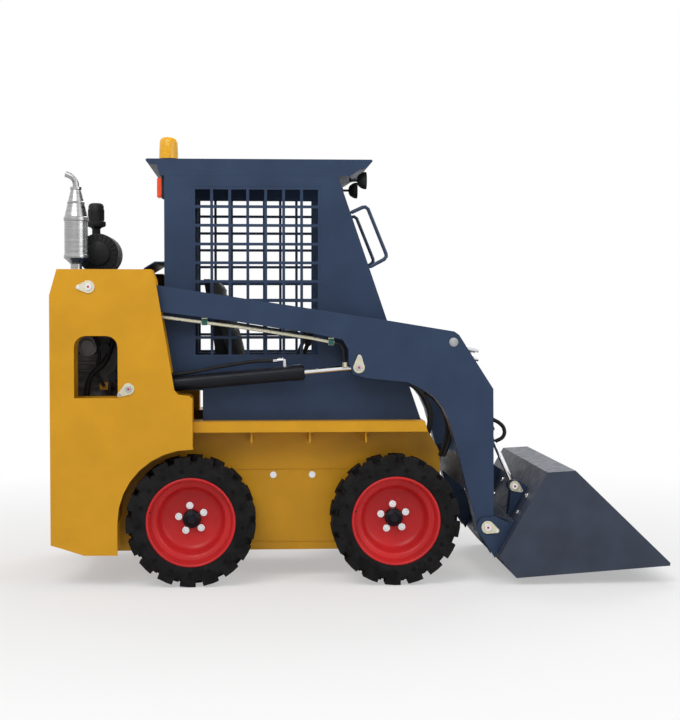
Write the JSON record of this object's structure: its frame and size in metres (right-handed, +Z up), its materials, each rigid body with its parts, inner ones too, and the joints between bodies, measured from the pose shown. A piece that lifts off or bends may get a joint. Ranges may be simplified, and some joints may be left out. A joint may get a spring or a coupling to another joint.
{
  "type": "skid steer loader",
  "caption": "Compact wheeled skid steer loader with a caged cab, twin lift arms, a tilting front bucket, solid tyres and a rear engine bay.",
  "frame": {"origin": "on the floor below the middle of the machine's length and width", "axes": "+X forward, towards the bucket; +Y to the machine's left; +Z up"},
  "size_m": [2.776, 1.2, 2.0603],
  "materials": {
    "yellow_paint": "semi-gloss",
    "slate_paint": "semi-gloss",
    "red_paint": "semi-gloss",
    "tyre_rubber": "matte",
    "black_paint": "satin",
    "black_plastic": "satin",
    "vinyl": "satin",
    "chrome": "polished",
    "stainless": "brushed",
    "zinc": "satin",
    "cast_metal": "rough",
    "amber_lens": "gloss",
    "red_lens": "gloss"
  },
  "bodies": {
    "chassis": {"main_frame": "yellow_paint", "right_tower": "yellow_paint", "left_tower": "yellow_paint", "engine_block": "cast_metal", "engine_cover": "slate_paint", "muffler": "stainless", "air_filter": "black_plastic", "pre_cleaner": "black_plastic", "right_rear_axle": "black_paint", "left_rear_axle": "black_paint", "right_front_axle": "black_paint", "left_front_axle": "black_paint", "right_cab_side": "slate_paint", "left_cab_side": "slate_paint", "right_window_grille": "slate_paint", "left_window_grille": "slate_paint", "cab_roof": "slate_paint", "cab_rear_wall": "slate_paint", "cab_floor": "black_paint", "seat_base": "black_paint", "seat_cushion": "vinyl", "seat_back": "vinyl", "seat_frame": "black_paint", "right_control": "black_plastic", "left_control": "black_plastic", "right_handle": "slate_paint", "left_handle": "slate_paint", "beacon": "amber_lens", "right_tail_light": "red_lens", "left_tail_light": "red_lens", "right_work_light": "black_plastic", "left_work_light": "black_plastic"},
    "right_rear_wheel": {"right_rear_tyre": "tyre_rubber", "right_rear_rim": "red_paint"},
    "left_rear_wheel": {"left_rear_tyre": "tyre_rubber", "left_rear_rim": "red_paint"},
    "right_front_wheel": {"right_front_tyre": "tyre_rubber", "right_front_rim": "red_paint"},
    "left_front_wheel": {"left_front_tyre": "tyre_rubber", "left_front_rim": "red_paint"},
    "arms": {"right_arm": "slate_paint", "left_arm": "slate_paint", "arm_cross_tube": "slate_paint", "right_arm_line": "zinc", "left_arm_line": "zinc"},
    "bucket": {"coupler": "slate_paint", "bucket": "slate_paint"},
    "lift_barrels": {"right_lift_barrel": "black_paint", "left_lift_barrel": "black_paint"},
    "lift_rods": {"right_lift_rod": "chrome", "left_lift_rod": "chrome"},
    "tilt_barrels": {"right_tilt_barrel": "black_paint", "left_tilt_barrel": "black_paint"},
    "tilt_rods": {"right_tilt_rod": "chrome", "left_tilt_rod": "chrome"},
    "rear_door": {"rear_door": "yellow_paint"},
    "seat_bar": {"seat_bar": "black_paint"}
  },
  "joints": [
    {"name": "right_rear_wheel_spin", "type": "hinge", "parent": "chassis", "child": "right_rear_wheel", "pos_m": [-0.769, -0.47, 0.29], "axis": [0, 1, 0], "continuous": true},
    {"name": "left_rear_wheel_spin", "type": "hinge", "parent": "chassis", "child": "left_rear_wheel", "pos_m": [-0.769, 0.47, 0.29], "axis": [0, 1, 0], "continuous": true},
    {"name": "right_front_wheel_spin", "type": "hinge", "parent": "chassis", "child": "right_front_wheel", "pos_m": [0.149, -0.47, 0.29], "axis": [0, 1, 0], "continuous": true},
    {"name": "left_front_wheel_spin", "type": "hinge", "parent": "chassis", "child": "left_front_wheel", "pos_m": [0.149, 0.47, 0.29], "axis": [0, 1, 0], "continuous": true},
    {"name": "arm_lift", "type": "hinge", "parent": "chassis", "child": "arms", "pos_m": [-1.216, 0, 1.338], "axis": [0, -1, 0], "range_deg": [0, 62]},
    {"name": "bucket_tilt", "type": "hinge", "parent": "arms", "child": "bucket", "pos_m": [0.567, 0, 0.254], "axis": [0, 1, 0], "range_deg": [-15, 75]},
    {"name": "lift_barrel_swing", "type": "hinge", "parent": "chassis", "child": "lift_barrels", "pos_m": [-1.042, 0, 0.886], "axis": [0, -1, 0], "range_deg": [-0.5, 60]},
    {"name": "lift_rod_slide", "type": "slide", "parent": "lift_barrels", "child": "lift_rods", "axis": [0.996, 0, 0.0893], "range_m": [-0.003, 0.495]},
    {"name": "tilt_barrel_swing", "type": "hinge", "parent": "arms", "child": "tilt_barrels", "pos_m": [0.41, 0, 1.091], "axis": [0, 1, 0], "range_deg": [-3, 3]},
    {"name": "tilt_rod_slide", "type": "slide", "parent": "tilt_barrels", "child": "tilt_rods", "axis": [0.4136, 0, -0.9105], "range_m": [-0.06, 0.275]},
    {"name": "rear_door_swing", "type": "hinge", "parent": "chassis", "child": "rear_door", "pos_m": [-1.3745, 0.3855, 0.8], "axis": [0, 0, -1], "range_deg": [0, 100]},
    {"name": "seat_bar_lift", "type": "hinge", "parent": "chassis", "child": "seat_bar", "pos_m": [-0.805, 0, 1.23], "axis": [0, -1, 0], "range_deg": [0, 62]}
  ],
  "couplings": [
    {"joint": "lift_barrel_swing", "follows": "arm_lift", "ratio": 0.92091},
    {"joint": "lift_rod_slide", "follows": "arm_lift", "m_per_rad": 0.45033},
    {"joint": "tilt_barrel_swing", "follows": "bucket_tilt", "ratio": 0.02},
    {"joint": "tilt_rod_slide", "follows": "bucket_tilt", "m_per_rad": 0.20477}
  ]
}
